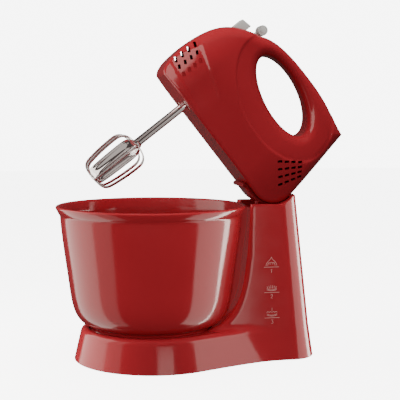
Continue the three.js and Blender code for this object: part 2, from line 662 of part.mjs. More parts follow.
// The origin is under the middle of the whole object, on the surface that it stands on.
whole.updateMatrixWorld(true);
const bounds = new THREE.Box3().setFromObject(whole, true);
const centre = bounds.getCenter(new THREE.Vector3());
const model = new THREE.Group();
whole.position.set(-centre.x, -centre.y, -bounds.min.z);
model.add(whole);

export default model;
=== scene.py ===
import itertools
import json
import math

import bmesh
import bpy
import numpy as np
from mathutils import Matrix, Vector
from mathutils.bvhtree import BVHTree

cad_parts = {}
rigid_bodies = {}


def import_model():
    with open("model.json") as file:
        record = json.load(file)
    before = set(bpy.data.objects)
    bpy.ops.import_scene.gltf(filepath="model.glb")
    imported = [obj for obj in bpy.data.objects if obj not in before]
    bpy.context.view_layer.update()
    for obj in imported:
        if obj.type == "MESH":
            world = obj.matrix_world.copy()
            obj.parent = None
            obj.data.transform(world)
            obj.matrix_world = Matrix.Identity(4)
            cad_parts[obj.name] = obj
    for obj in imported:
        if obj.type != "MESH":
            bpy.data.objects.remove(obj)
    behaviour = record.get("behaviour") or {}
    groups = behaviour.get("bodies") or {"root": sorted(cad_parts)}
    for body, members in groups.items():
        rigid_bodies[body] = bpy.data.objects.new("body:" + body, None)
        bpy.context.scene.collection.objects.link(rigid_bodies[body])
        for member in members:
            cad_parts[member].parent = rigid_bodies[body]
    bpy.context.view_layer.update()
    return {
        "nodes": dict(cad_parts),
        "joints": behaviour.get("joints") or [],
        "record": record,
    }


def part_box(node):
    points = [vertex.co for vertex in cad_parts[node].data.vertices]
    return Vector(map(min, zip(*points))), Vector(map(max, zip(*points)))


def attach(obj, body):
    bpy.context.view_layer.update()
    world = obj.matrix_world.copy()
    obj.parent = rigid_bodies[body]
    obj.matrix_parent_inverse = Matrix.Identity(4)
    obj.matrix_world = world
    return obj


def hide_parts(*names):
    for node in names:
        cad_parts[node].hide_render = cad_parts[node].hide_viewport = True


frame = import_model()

MM = 0.001  # shapes are worked out in millimetres and made in metres
CELL = 1.5  # grid of the moulded surfaces

# ---- places, from the frame ----------------------------------------------------------------
JOINTS = {joint["name"]: joint for joint in frame["joints"]}
BOWL_LOW, BOWL_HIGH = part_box("bowl")
BOWL_AXIS = (BOWL_LOW.x + BOWL_HIGH.x) / 2
PIVOT = Vector(JOINTS["head_tilt"]["pos_m"])
MIXER_UP = -Vector(JOINTS["mixer_lift"]["axis"])
MIXER_BACK = Vector(JOINTS["motor_spin"]["axis"])
# the mixer's own frame: x to its rear, y across, z up from its flat underside, about the tilt axis
MIXER = Matrix.Translation(PIVOT) @ Matrix((
    (MIXER_BACK.x, 0, MIXER_UP.x, 0), (0, 1, 0, 0), (MIXER_BACK.z, 0, MIXER_UP.z, 0), (0, 0, 0, 1)))
FOOT = 6  # the stand's heights count from this far over the worktop
STAND = Matrix.Translation(Vector((BOWL_AXIS, 0, FOOT * MM)))  # about the bowl's axis
PIVOT_X = (PIVOT.x - BOWL_AXIS) / MM
PIVOT_Z = PIVOT.z / MM - FOOT
CAMERA_TURN = math.radians(10)


# ---- numbers on arrays ---------------------------------------------------------------------
def ease(t):
    """0 to 1 with a smooth start and end."""
    t = np.clip(t, 0, 1)
    return t * t * t * (t * (6 * t - 15) + 10)


def rounded_and(a, b, r):
    """The part inside both fields, with its edge rounded to radius r."""
    return np.minimum(-r, np.maximum(a, b)) + np.hypot(np.maximum(a + r, 0), np.maximum(b + r, 0))


def blended_or(a, b, r):
    """The part inside either field, with the inner corner filled by a fillet of radius r."""
    return -rounded_and(-a, -b, r)


def bezier(*points, count=24):
    """Points on a Bezier curve, without its first one."""
    t = np.linspace(0, 1, count + 1)[1:, None]
    points = [np.array(p, float) for p in points]
    while len(points) > 1:
        points = [a + (b - a) * t for a, b in zip(points, points[1:])]
    return [tuple(p) for p in points[0]]


def arc(centre, r, start, end, count=24):
    turn = np.radians(np.linspace(start, end, count + 1))
    return [(centre[0] + r * math.cos(a), centre[1] + r * math.sin(a)) for a in turn]


def outline_distance(outline, step=0.8, margin=50):
    """A function of x, y that gives the distance to a closed outline, negative inside.

    It is read from a table of exact distances that is step millimetres fine."""
    start = np.array(outline, float)
    end = np.roll(start, -1, 0)
    keep = ((end - start) ** 2).sum(1) > 1e-9
    start, end = start[keep], end[keep]
    low = start.min(0) - margin
    size = np.ceil((start.max(0) + margin - low) / step).astype(int) + 1
    x, y = np.meshgrid(*(low[i] + step * np.arange(size[i]) for i in (0, 1)), indexing="ij")
    nearest = np.full(x.shape, 1e9)
    inside = np.zeros(x.shape, bool)
    for (ax, ay), (bx, by) in zip(start, end):
        sx, sy = bx - ax, by - ay
        t = np.clip(((x - ax) * sx + (y - ay) * sy) / (sx * sx + sy * sy), 0, 1)
        np.minimum(nearest, (x - ax - t * sx) ** 2 + (y - ay - t * sy) ** 2, out=nearest)
        if ay != by:
            inside ^= ((ay <= y) != (by <= y)) & (x < ax + (y - ay) * sx / sy)
    table = np.where(inside, -1, 1) * np.sqrt(nearest)

    def distance(x, y):
        u = np.clip((x - low[0]) / step, 0, size[0] - 1.001)
        v = np.clip((y - low[1]) / step, 0, size[1] - 1.001)
        i, j = u.astype(int), v.astype(int)
        u, v = u - i, v - j
        near = table[i, j] * (1 - v) + table[i, j + 1] * v
        far = table[i + 1, j] * (1 - v) + table[i + 1, j + 1] * v
        return near * (1 - u) + far * u

    return distance


def on_plane(distance, x, z):
    """A field of x and z only, worked out once for each line of a grid along y."""
    if x.ndim == 3:
        return distance(x[:, 0], z[:, 0])[:, None]
    return distance(x, z)


# ---- smooth surfaces from fields -----------------------------------------------------------
def surface(field, low, high, cell):
    """Vertices and quads on field = 0, which is negative inside, as dual cells of a grid."""
    axes = [np.arange(a, b + cell, cell) for a, b in zip(low, high)]
    values = np.broadcast_to(field(*np.meshgrid(*axes, indexing="ij")), [len(a) for a in axes])
    size = np.array(values.shape)
    steps = list(itertools.product((0, 1), repeat=3))
    corners = [values[i:size[0] - 1 + i, j:size[1] - 1 + j, k:size[2] - 1 + k] for i, j, k in steps]
    signs = np.array(corners) < 0
    active = signs.any(0) & ~signs.all(0)
    total = np.zeros((active.sum(), 3))
    count = np.zeros(active.sum())
    for a, b in itertools.combinations(range(8), 2):
        way = np.subtract(steps[b], steps[a])
        if np.abs(way).sum() != 1:
            continue
        fa, fb = corners[a][active], corners[b][active]
        cross = (fa < 0) != (fb < 0)
        t = fa[cross] / (fa[cross] - fb[cross])
        total[cross] += np.array(steps[a]) + t[:, None] * way
        count[cross] += 1
    verts = np.array(low) + cell * (np.argwhere(active) + total / count[:, None])
    number = np.full(active.shape, -1)
    number[active] = np.arange(active.sum())
    quads = []
    for axis in range(3):
        u, v = np.eye(3, dtype=int)[(axis + 1) % 3], np.eye(3, dtype=int)[(axis + 2) % 3]
        here = np.moveaxis(values, axis, 0)[:-1]
        there = np.moveaxis(values, axis, 0)[1:]
        crossing = np.moveaxis((here < 0) != (there < 0), 0, axis)
        outward = np.moveaxis(here < 0, 0, axis)
        at = np.argwhere(crossing)
        inner = ((at > 0) | (np.arange(3) == axis)) & ((at < size - 1) | (np.arange(3) == axis))
        at = at[inner.all(1)]
        quad = np.stack([number[tuple(p.T)] for p in (at - u - v, at - v, at, at - u)], 1)
        keep = outward[tuple(at.T)]
        quads += [quad[keep], quad[~keep][:, ::-1]]
    return settle(field, verts, cell), np.concatenate(quads)


def settle(field, verts, cell, rounds=4, step=0.02):
    """Moves vertices along the field's slope until they lie on its zero surface."""
    for _ in range(rounds):
        value = field(*verts.T)
        slope = np.stack([field(*(verts + step * e).T) - value for e in np.eye(3)], 1) / step
        move = -slope * (value / np.maximum((slope ** 2).sum(1), 1e-3))[:, None]
        length = np.linalg.norm(move, axis=1, keepdims=True)
        verts = verts + move * np.minimum(1, 0.5 * cell / np.maximum(length, 1e-9))
    return verts


# ---- meshes ---------------------------------------------------------------------------------
def make(name, verts, faces, place=STAND, smooth=40):
    """A mesh object from millimetre vertices in the mixer's or the stand's frame."""
    mesh = bpy.data.meshes.new(name)
    mesh.from_pydata([tuple(v) for v in np.asarray(verts, float) * MM], [], [list(f) for f in faces])
    mesh.transform(place)
    return show(name, mesh, smooth)


def show(name, mesh, smooth=40):
    mesh.update()
    mesh.polygons.foreach_set("use_smooth", [True] * len(mesh.polygons))
    mesh.set_sharp_from_angle(angle=math.radians(smooth))
    piece = bpy.data.objects.new(name, mesh)
    bpy.context.scene.collection.objects.link(piece)
    return piece


def apply_modifiers(piece, smooth=40):
    """Replaces a piece's mesh by what its modifiers make of it."""
    ready = piece.evaluated_get(bpy.context.evaluated_depsgraph_get())
    mesh = bpy.data.meshes.new_from_object(ready)
    piece.modifiers.clear()
    piece.data = mesh
    mesh.polygons.foreach_set("use_smooth", [True] * len(mesh.polygons))
    mesh.set_sharp_from_angle(angle=math.radians(smooth))
    return piece


def slice_off(verts, faces, point, normal):
    """Cuts away what lies on the normal's side of a plane, and leaves the cut open."""
    work = bmesh.new()
    for v in verts:
        work.verts.new(v)
    work.verts.ensure_lookup_table()
    for face in faces:
        work.faces.new([work.verts[i] for i in face])
    bmesh.ops.bisect_plane(work, geom=work.verts[:] + work.edges[:] + work.faces[:], dist=1e-4,
                           plane_co=point, plane_no=normal, clear_outer=True)
    work.verts.index_update()
    cut_verts = np.array([v.co[:] for v in work.verts])
    cut_faces = [[v.index for v in f.verts] for f in work.faces]
    work.free()
    return cut_verts, cut_faces


def thicken(piece, wall):
    solidify = piece.modifiers.new("wall", "SOLIDIFY")
    solidify.thickness = wall * MM
    solidify.offset = -1
    solidify.use_rim = True
    return apply_modifiers(piece)


def cut_with(piece, tools):
    """Cuts a list of closed tool objects, clear of each other, out of a piece and deletes them."""
    for tool in tools[1:]:
        tools[0].data = both(tools[0].data, tool.data)
        bpy.data.objects.remove(tool)
    cut = piece.modifiers.new("cut", "BOOLEAN")
    cut.object = tools[0]
    cut.solver = "MANIFOLD"
    apply_modifiers(piece)
    bpy.data.objects.remove(tools[0])
    return piece


def both(mesh, other):
    work = bmesh.new()
    work.from_mesh(mesh)
    work.from_mesh(other)
    work.to_mesh(mesh)
    work.free()
    return mesh


def bevelled(name, verts, faces, place, width, segments=3):
    piece = make(name, verts, faces, place)
    bevel = piece.modifiers.new("edge", "BEVEL")
    bevel.width = width * MM
    bevel.segments = segments
    bevel.limit_method = "ANGLE"
    return apply_modifiers(piece)


def prism(outline, low, high):
    """Vertices and faces of an outline in x and z, pushed along y."""
    count = len(outline)
    verts = [(x, y, z) for y in (low, high) for x, z in outline]
    sides = [(i, (i + 1) % count, count + (i + 1) % count, count + i) for i in range(count)]
    faces = sides + [tuple(range(count))[::-1], tuple(range(count, 2 * count))]
    return verts, [f[::-1] for f in faces]


def turned(profile, segments):
    """Vertices and faces of an open profile of (radius, height) points turned about z."""
    angles = np.linspace(0, 2 * math.pi, segments, endpoint=False)
    verts = [(r * math.cos(a), r * math.sin(a), z) for a in angles for r, z in profile]
    rows = len(profile)
    faces = []
    for s in range(segments):
        a, b = s * rows, ((s + 1) % segments) * rows
        faces += [(a + k, b + k, b + k + 1, a + k + 1) for k in range(rows - 1)]
    return merged(verts, faces)


def merged(verts, faces):
    """Joins vertices that lie together, and drops the faces that this flattens."""
    keys = {}
    index = [keys.setdefault(tuple(np.round(v, 5) + 0.0), len(keys)) for v in verts]
    kept = [None] * len(keys)
    for v, i in zip(verts, index):
        kept[i] = v
    out = []
    for face in faces:
        ids = [index[i] for i in face]
        ids = [v for k, v in enumerate(ids) if v != ids[k - 1]]
        if len(ids) > 2:
            out.append(ids)
    return kept, out


def rounded(profile, radius, count=6):
    """A closed profile with its corners rounded."""
    out = []
    size = len(profile)
    for i, here in enumerate(profile):
        here = np.array(here, float)
        before, after = np.array(profile[i - 1], float), np.array(profile[(i + 1) % size], float)
        ways = [(p - here) / np.linalg.norm(p - here) for p in (before, after)]
        reach = min(radius, 0.45 * min(np.linalg.norm(before - here), np.linalg.norm(after - here)))
        a, b = here + ways[0] * reach, here + ways[1] * reach
        out += [tuple(a)] + bezier(a, here, b, count=count)
    return out


# ---- materials -------------------------------------------------------------------------------
class Finish:
    """A Principled material whose colour, roughness and bump come from noise in object space."""

    def __init__(self, name, metallic=0.0, specular=0.5, coat=0.0, coat_roughness=0.03):
        self.material = bpy.data.materials.new(name)
        self.material.use_nodes = True
        self.tree = self.material.node_tree
        self.shader = self.tree.nodes["Principled BSDF"]
        self.shader.inputs["Metallic"].default_value = metallic
        self.shader.inputs["Specular IOR Level"].default_value = specular
        self.shader.inputs["Coat Weight"].default_value = coat
        self.shader.inputs["Coat Roughness"].default_value = coat_roughness
        self.coords = self.tree.nodes.new("ShaderNodeTexCoord").outputs["Object"]

    def node(self, kind, **values):
        made = self.tree.nodes.new(kind)
        for key, value in values.items():
            made.inputs[key.replace("_", " ")].default_value = value
        return made

    def noise(self, scale, detail=4.0, stretch=(1, 1, 1)):
        mapping = self.node("ShaderNodeMapping", Scale=stretch)
        self.tree.links.new(self.coords, mapping.inputs["Vector"])
        noise = self.node("ShaderNodeTexNoise", Scale=scale, Detail=detail)
        self.tree.links.new(mapping.outputs["Vector"], noise.inputs["Vector"])
        return noise.outputs["Fac"]

    def ramp(self, source, *stops):
        """Maps a value onto colours or grey levels: stops are (position, colour or level)."""
        ramp = self.tree.nodes.new("ShaderNodeValToRGB")
        while len(ramp.color_ramp.elements) < len(stops):
            ramp.color_ramp.elements.new(0.5)
        for element, (at, colour) in zip(ramp.color_ramp.elements, stops):
            element.position = at
            element.color = (*colour, 1) if isinstance(colour, tuple) else (colour,) * 3 + (1,)
        self.tree.links.new(source, ramp.inputs["Fac"])
        return ramp.outputs["Color"]

    def colour(self, source, *stops):
        self.tree.links.new(self.ramp(source, *stops), self.shader.inputs["Base Color"])
        return self

    def rough(self, source, low, high):
        self.tree.links.new(self.ramp(source, (0.3, low), (0.7, high)), self.shader.inputs["Roughness"])
        return self

    def bump(self, source, strength, distance):
        bump = self.node("ShaderNodeBump", Strength=strength, Distance=distance)
        self.tree.links.new(source, bump.inputs["Height"])
        self.tree.links.new(bump.outputs["Normal"], self.shader.inputs["Normal"])
        return self


def red_plastic():
    """Polished moulded plastic: deep red, faint flow marks and a trace of orange peel."""
    f = Finish("red_plastic", specular=0.4)
    f.colour(f.noise(9), (0.35, (0.28, 0.0145, 0.021)), (0.65, (0.305, 0.0165, 0.024)))
    f.rough(f.noise(60), 0.1, 0.16)
    return f.bump(f.noise(420, 2), 0.03, 0.0002).material


def grey_plastic():
    f = Finish("grey_plastic", specular=0.45)
    f.colour(f.noise(25), (0.35, (0.5, 0.54, 0.53)), (0.65, (0.56, 0.6, 0.59)))
    f.rough(f.noise(200), 0.32, 0.42)
    return f.bump(f.noise(1800, 3), 0.12, 0.0001).material


def black_plastic():
    f = Finish("black_plastic", specular=0.4)
    f.colour(f.noise(40), (0.35, (0.012, 0.012, 0.013)), (0.65, (0.025, 0.025, 0.027)))
    f.rough(f.noise(150), 0.42, 0.58)
    return f.bump(f.noise(1500, 3), 0.2, 0.00015).material


def rubber():
    f = Finish("rubber", specular=0.3)
    f.colour(f.noise(60), (0.3, (0.014, 0.014, 0.014)), (0.7, (0.035, 0.034, 0.033)))
    f.rough(f.noise(220), 0.7, 0.88)
    return f.bump(f.noise(2200, 4), 0.3, 0.0002).material


def nylon():
    f = Finish("nylon", specular=0.4)
    f.colour(f.noise(30), (0.35, (0.66, 0.64, 0.57)), (0.65, (0.74, 0.72, 0.65)))
    f.rough(f.noise(180), 0.38, 0.5)
    return f.bump(f.noise(900, 3), 0.12, 0.0001).material


def chrome():
    f = Finish("chrome", metallic=1.0)
    f.colour(f.noise(40), (0.35, (0.80, 0.80, 0.81)), (0.65, (0.86, 0.86, 0.87)))
    f.rough(f.noise(260), 0.035, 0.085)
    return f.bump(f.noise(700, 2), 0.02, 0.0001).material


def metal(name, dark, light, low, high, stretch=(1, 1, 1)):
    """Plain worked metal: brushed along one way, with slightly uneven gloss."""
    f = Finish(name, metallic=1.0)
    f.colour(f.noise(35), (0.3, dark), (0.7, light))
    f.rough(f.noise(300, 3, stretch), low, high)
    return f.bump(f.noise(900, 3, stretch), 0.1, 0.0001).material


def printed():
    """The pale ink of the pictograms."""
    f = Finish("print", specular=0.3)
    f.colour(f.noise(300), (0.3, (0.62, 0.36, 0.34)), (0.7, (0.74, 0.46, 0.43)))
    return f.rough(f.noise(500), 0.4, 0.55).material


FINISHES = {
    "red_plastic": red_plastic(),
    "grey_plastic": grey_plastic(),
    "black_plastic": black_plastic(),
    "rubber": rubber(),
    "nylon": nylon(),
    "chrome": chrome(),
    "steel": metal("steel", (0.42, 0.42, 0.43), (0.56, 0.56, 0.57), 0.25, 0.4, (1, 8, 1)),
    "lamination": metal("lamination", (0.16, 0.16, 0.17), (0.3, 0.3, 0.31), 0.4, 0.6, (14, 1, 1)),
    "copper": metal("copper", (0.45, 0.17, 0.07), (0.66, 0.29, 0.13), 0.25, 0.4, (10, 1, 1)),
    "brass": metal("brass", (0.5, 0.34, 0.12), (0.66, 0.48, 0.2), 0.25, 0.38),
    "print": printed(),
}
SLOT_OF = {row["node"]: row["material_slot"] for row in frame["record"]["subparts"]}


def wear(piece, finish, body, stands_for=()):
    """Gives a piece its material, its body, and the CAD nodes that it stands for."""
    piece.data.materials.clear()
    piece.data.materials.append(FINISHES[finish])
    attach(piece, body)
    if stands_for:
        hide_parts(*stands_for)
    return piece


# ---- mixer housing ---------------------------------------------------------------------------
CORNER_R = 27.5
HANDLE_CENTRE = (-65.4, 67.1)
HANDLE_SEMI = (49.5, 22.3)
HANDLE_LEAN = math.radians(-10.3)
DISH_SEMI = (78.0, 54.0)
OPENING_EDGE = 11  # radius from the dish into the handle opening
WALL = 2.6
SEAM = 0.18  # from the centre plane to each half
FRONT_VENTS = ((-172.6, -6.8, 9.1, 6.6), (-164.4, -9.2, 8.4, 5))  # x, lowest z, pitch, length
FRONT_VENT_LEAN = math.radians(-31)
REAR_VENTS = (((-13.2, 15.4), (2.9, 34.2)), ((8.1, 0.8), (15.6, 23.8)))  # first and last of the end rows
BEATER_X = -125
BEATER_Y = 20.5
KNOB = (-136.8, 96.2)
KNOB_R = 5.9


def side_outline():
    points = [(-168, -CORNER_R), (0, -CORNER_R)] + arc((0, 0), CORNER_R, -90, 0)[1:]
    points += bezier((CORNER_R, 0), (23.6, 44), (14.7, 98.2))
    points += bezier((14.7, 98.2), (-5, 98.2), (-20, 105.8), (-52, 106.2))
    points += bezier((-52, 106.2), (-95, 106.7), (-119, 101.6), (-132, 90.6))
    points += bezier((-132, 90.6), (-149, 80.2), (-170, 70), (-176.2, 38.4))
    points += bezier((-176.2, 38.4), (-178.8, 22), (-179.2, 6), (-177, -10))
    points += bezier((-177, -10), (-174.5, -25), (-168, -CORNER_R))
    return points[:-1]


SIDE = outline_distance(side_outline())


def handle_axes(x, z):
    """Coordinates along and across the handle opening, from its centre."""
    dx, dz = x - HANDLE_CENTRE[0], z - HANDLE_CENTRE[1]
    c, s = math.cos(HANDLE_LEAN), math.sin(HANDLE_LEAN)
    return dx * c + dz * s, dz * c - dx * s


def ellipse_distance(u, v, semi):
    """About the distance outside an ellipse, negative inside."""
    a, b = semi
    k = np.hypot(u / a, v / b)
    slope = np.hypot(u / a ** 2, v / b ** 2) / np.maximum(k, 1e-6)
    return (k - 1) / np.maximum(slope, 1e-6)


def half_width(x, z):
    """Half of the mixer's width: full round the motor, slim at the grip, round at the nose."""
    nose = np.maximum(-138 - x, 0) / 41
    tail = np.maximum(x + 30, 0) / 58
    plan = 1 - 0.34 * nose ** 2 - 0.3 * tail ** 2
    width = (41 - 20 * ease((z - 2) / 112)) * plan
    u, v = handle_axes(x, z)
    inside = 1 - np.hypot((u - 2) / DISH_SEMI[0], v / DISH_SEMI[1])
    width = width - 1.3 * ease(inside / 0.035) - 11 * np.maximum(inside, 0) ** 1.15
    above = z - (-15.8 - 0.179 * (x + 163.4))
    below = (20.4 - 0.364 * (x + 155.1)) - z
    panel = ease(above / 2.2) * ease(below / 2.2) * ease((-104 - x) / 30)
    return width - 0.9 * panel


def housing_field(x, y, z):
    outline = on_plane(SIDE, x, z)
    u, v = handle_axes(x, z)
    opening = -ellipse_distance(u, v, HANDLE_SEMI)
    edge = 2.8 + 11 * ease((z + 22) / 75)
    body = rounded_and(np.abs(y) - half_width(x, z), outline, edge)
    return rounded_and(body, opening, OPENING_EDGE)


def between(corners, u, v):
    """A point of a four-cornered patch: u runs along its rows and v from the first to the last."""
    (a, b), (c, d) = np.array(corners)
    return (a * (1 - u) + b * u) * (1 - v) + (c * (1 - u) + d * u) * v


def vent_tools():
    """Slots down the nose and in the rear quarter, and blind pockets beside the nose's slots."""
    tools = []

    def slot(x, z, length, width, lean, y0, y1):
        c, s = math.cos(lean), math.sin(lean)
        flat = rounded([(-length / 2, -width / 2), (length / 2, -width / 2), (length / 2, width / 2),
                        (-length / 2, width / 2)], 0.7, 3)
        outline = [(x + p * c - q * s, z + p * s + q * c) for p, q in flat]
        tools.append(make("tool", *prism(outline, y0, y1), MIXER))

    for x, low, pitch, length in FRONT_VENTS:
        for k in range(4):
            slot(x, low + pitch * k, length, 3, FRONT_VENT_LEAN, -60, 60)
    for side in (-1, 1):
        for k in range(4):
            slot(-155.4, -10.7 + 7.85 * k, 5.2, 3.6, FRONT_VENT_LEAN, *sorted((side * 36.5, side * 60)))
        for row, n in itertools.product(range(4), range(4)):
            x, z = between(REAR_VENTS, n / 3, row / 3)
            lean = math.radians(56 + 13 * row / 3)
            slot(x, z, 5.6, 2.6, lean, *sorted((side * 20, side * 60)))
    return tools


def box_tool(x0, x1, y0, y1, z0, z1, place=MIXER):
    return make("tool", *prism([(x0, z0), (x1, z0), (x1, z1), (x0, z1)], y0, y1), place)


def rod_tool(r, low, high, place):
    return make("tool", *turned([(0, low), (r, low), (r, high), (0, high)], 32), place)


def beater_places():
    return {side: MIXER @ Matrix.Translation(Vector((BEATER_X, BEATER_Y * sign, 0)) * MM)
            for side, sign in (("left", 1), ("right", -1))}


def make_housing():
    verts, faces = surface(housing_field, (-184, -4, -32), (32, 46, 114), CELL)
    verts, faces = slice_off(verts, faces, (0, SEAM, 0), (0, -1, 0))
    for side, sign in (("left", 1), ("right", -1)):
        turned_faces = faces if sign > 0 else [f[::-1] for f in faces]
        piece = make(f"housing_shell_{side}", verts * (1, sign, 1), turned_faces, MIXER, 50)
        thicken(piece, WALL)
        tools = vent_tools() + [
            box_tool(-161.5, -148, -8.4, 8.4, 60, 100), box_tool(-143, -129.5, -3.2, 3.2, 78, 112),
            box_tool(-13.4, -6.6, -19.4, 19.4, -40, -20)]
        tools += [rod_tool(7.1, -40, -18, place) for place in beater_places().values()]
        cut_with(piece, tools)
        wear(piece, "red_plastic", "mixer", stands_for=(f"housing_{side}",))


def make_rear_baffle():
    """The plate behind the rear vents, with a step over the end of the motor's shaft."""
    plate = [(-9, -4), (20, -4), (20, 40), (-16, 40), (-16, 15), (-9, 15)]
    piece = bevelled("rear_vent_baffle", *prism(plate, -1, 1), MIXER, 0.3, 2)
    wear(piece, "red_plastic", "mixer")


# ---- buttons -----------------------------------------------------------------------------------
def make_eject_button():
    outline = [(-161, 68), (-148.5, 68), (-148.5, 88.2), (-161, 85.2)]
    piece = bevelled("eject_button_cap", *prism(outline, -8, 8), MIXER, 1.3, 4)
    wear(piece, "grey_plastic", "ejector", stands_for=("eject_button",))


def make_speed_lever():
    """A ribbed knob with a boss in its middle, on a flat stem."""
    count = 80  # four points to a rib: two high, two low
    knob = []
    for i in range(count):
        angle = 2 * math.pi * i / count
        r = KNOB_R + (0.1 if i % 4 < 2 else -0.2)
        knob.append((KNOB[0] + r * math.cos(angle), KNOB[1] + r * math.sin(angle)))
    piece = bevelled("speed_lever_knob", *prism(knob, -6.5, 6.5), MIXER, 0.35, 2)
    stem = rounded([(-139.4, 76), (-134.2, 76), (-133.6, 95), (-140.2, 95)], 1.5)
    neck = bevelled("speed_lever_stem", *prism(stem, -2.4, 2.4), MIXER, 0.5, 2)
    wear(piece, "grey_plastic", "lever", stands_for=("speed_lever",))
    wear(neck, "grey_plastic", "lever")
    middle = arc(KNOB, 3.2, 0, 360, 24)[:-1]
    boss = bevelled("speed_lever_boss", *prism(middle, -7, 7), MIXER, 0.6, 3)
    wear(boss, "grey_plastic", "lever")


# ---- beaters -----------------------------------------------------------------------------------
BLADE_R = 21.2
BLADE_WIDTH = 8
BASKET_TOP = -97
BASKET_LOW = -158


def blade_path(inset=0.0):
    r = BLADE_R - inset
    high, low = BASKET_TOP - inset, BASKET_LOW + inset
    right = [(0, high)] + bezier((0, high), (r * 0.6, high), (r, high - 3), (r, high - 14), count=14)
    right += bezier((r, high - 14), (r, high - 30), (r * 0.93, low + 18), (r * 0.86, low + 10), count=12)
    right += bezier((r * 0.86, low + 10), (r * 0.78, low + 1), (r * 0.5, low), (0, low), count=14)
    return right + [(-x, z) for x, z in right[-2:0:-1]]


def blade_loop(turn):
    """A strip bent into a closed loop: dished a little across its width, with rounded edges."""
    path = np.array(blade_path(0.8))
    count = len(path)
    ahead, behind = np.roll(path, -1, 0), np.roll(path, 1, 0)
    way = ahead - behind
    way /= np.linalg.norm(way, axis=1, keepdims=True)
    normal = np.stack([way[:, 1], -way[:, 0]], 1)
    if (normal[5] * path[5]).sum() < 0:
        normal = -normal
    across = np.linspace(-1, 1, 9)
    thick = 0.75 * np.sqrt(np.clip(1 - across ** 6, 0.08, 1))
    ring_y = np.concatenate([across, across[::-1]]) * BLADE_WIDTH / 2
    dish = -0.8 * across ** 2
    ring_out = np.concatenate([dish + thick, (dish - thick)[::-1]])
    rows = len(ring_y)
    verts = [(path[i][0] + normal[i][0] * o, y, path[i][1] + normal[i][1] * o)
             for i in range(count) for y, o in zip(ring_y, ring_out)]
    faces = [(i * rows + k, i * rows + (k + 1) % rows, ((i + 1) % count) * rows + (k + 1) % rows,
              ((i + 1) % count) * rows + k) for i in range(count) for k in range(rows)]
    spin = np.array(Matrix.Rotation(turn, 3, "Z"))
    return np.array(verts) @ spin.T, faces


def joined(name, parts, place):
    verts, faces, base = [], [], 0
    for part_verts, part_faces in parts:
        verts += [tuple(v) for v in part_verts]
        faces += [[i + base for i in f] for f in part_faces]
        base += len(part_verts)
    return make(name, verts, faces, place)


def make_beaters():
    shaft = [(0, -158.6), (3.6, -158.6), (4.4, -157.8), (4.4, -156), (3.2, -155), (2.2, -153.5),
             (2.2, -101), (3.4, -99.6), (4.6, -98.6), (4.6, -95.4), (3.7, -94.4), (3, -93.2), (3, -24),
             (3, 3.4), (2.5, 4), (2.5, 5.4), (3, 6), (3, 8.6), (2.2, 10), (0, 10)]
    turn = math.radians(-22)
    for side, place in beater_places().items():
        parts = [blade_loop(turn), blade_loop(turn + math.pi / 2), turned(shaft, 40)]
        piece = joined(f"beater_{side}_fine", parts, place)
        wear(piece, "chrome", f"beater_{side}", stands_for=(f"beater_{side}",))


# ---- bowl and turntable -----------------------------------------------------------------------
def make_bowl():
    foot, rim = BOWL_LOW.z / MM - FOOT, BOWL_HIGH.z / MM - FOOT
    rim_r, wall = (BOWL_HIGH.x - BOWL_AXIS) / MM, 2.3
    side = bezier((69.5, foot + 5), (86, foot + 10), (89.5, foot + 24), (92.6, foot + 47), count=28)
    side += bezier((92.6, foot + 47), (96, foot + 74), (101.2, foot + 106), (102.5, rim - 12.5), count=20)
    outer = [(61, foot), (66, foot)] + bezier((66, foot), (67.4, foot), (67.4, foot + 1.6), count=5)
    outer += bezier((67.4, foot + 1.6), (67.5, foot + 4.2), (69.5, foot + 5), count=4) + side
    outer += bezier((102.5, rim - 12.5), (102.7, rim - 10), (104.3, rim - 8.6), count=6)
    outer += [(rim_r - 0.3, rim - 2.6)] + bezier((rim_r - 0.3, rim - 2.6), (rim_r + 0.2, rim - 1.2),
                                                (rim_r - 1.2, rim - 0.4), count=6)
    inner = bezier((rim_r - 1.2, rim - 0.4), (rim_r - 3, rim + 0.3), (rim_r - 4.4, rim - 1.2), count=8)
    inner += bezier((rim_r - 4.4, rim - 1.2), (101.4, rim - 6), (100.2, rim - 12.5), count=10)
    inner += [(r - wall, z + 0.4) for r, z in side[::-1][1:]]
    inner += bezier((67.2, foot + 7.2), (58, foot + 5.4), (40, foot + 5.3), (0, foot + 5.3), count=12)
    under = [(0, foot + 3), (56, foot + 3), (59, foot + 2.2), (60, foot + 0.6)]
    piece = make("bowl_shell", *turned(under + outer + inner, 144), STAND, 35)
    wear(piece, "red_plastic", "bowl", stands_for=("bowl",))


def make_turntable():
    low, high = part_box("turntable")
    r = (high.x - BOWL_AXIS) / MM
    z0, z1 = low.z / MM - FOOT, high.z / MM - FOOT
    profile = [(0, z0), (r - 1, z0), (r, z0 + 1), (r, z1 - 0.8), (r - 0.6, z1), (r - 1.6, z1),
               (r - 2, z1 - 0.5), (r - 2, z0 + 4), (r - 2.4, z0 + 3.8), (20, z0 + 3.8), (18, z0 + 3.2),
               (0, z0 + 3.2)]
    piece = make("turntable_disc", *turned(profile, 128), STAND, 35)
    wear(piece, "red_plastic", "turntable", stands_for=("turntable",))


# ---- stand -------------------------------------------------------------------------------------
BASE_TOP = 36
BASE_R = 92.8
BASE_BOTTOM = -4
BASE_CENTRE = 4
COLUMN_HALF = 47.5
COLUMN_HALF_TOP = 39
COLUMN_REAR = 185.5
COLUMN_REAR_TOP = 165.2
COLUMN_TOP = 184
SEAT_R = 31.2
SEAT_HALF = 26.6


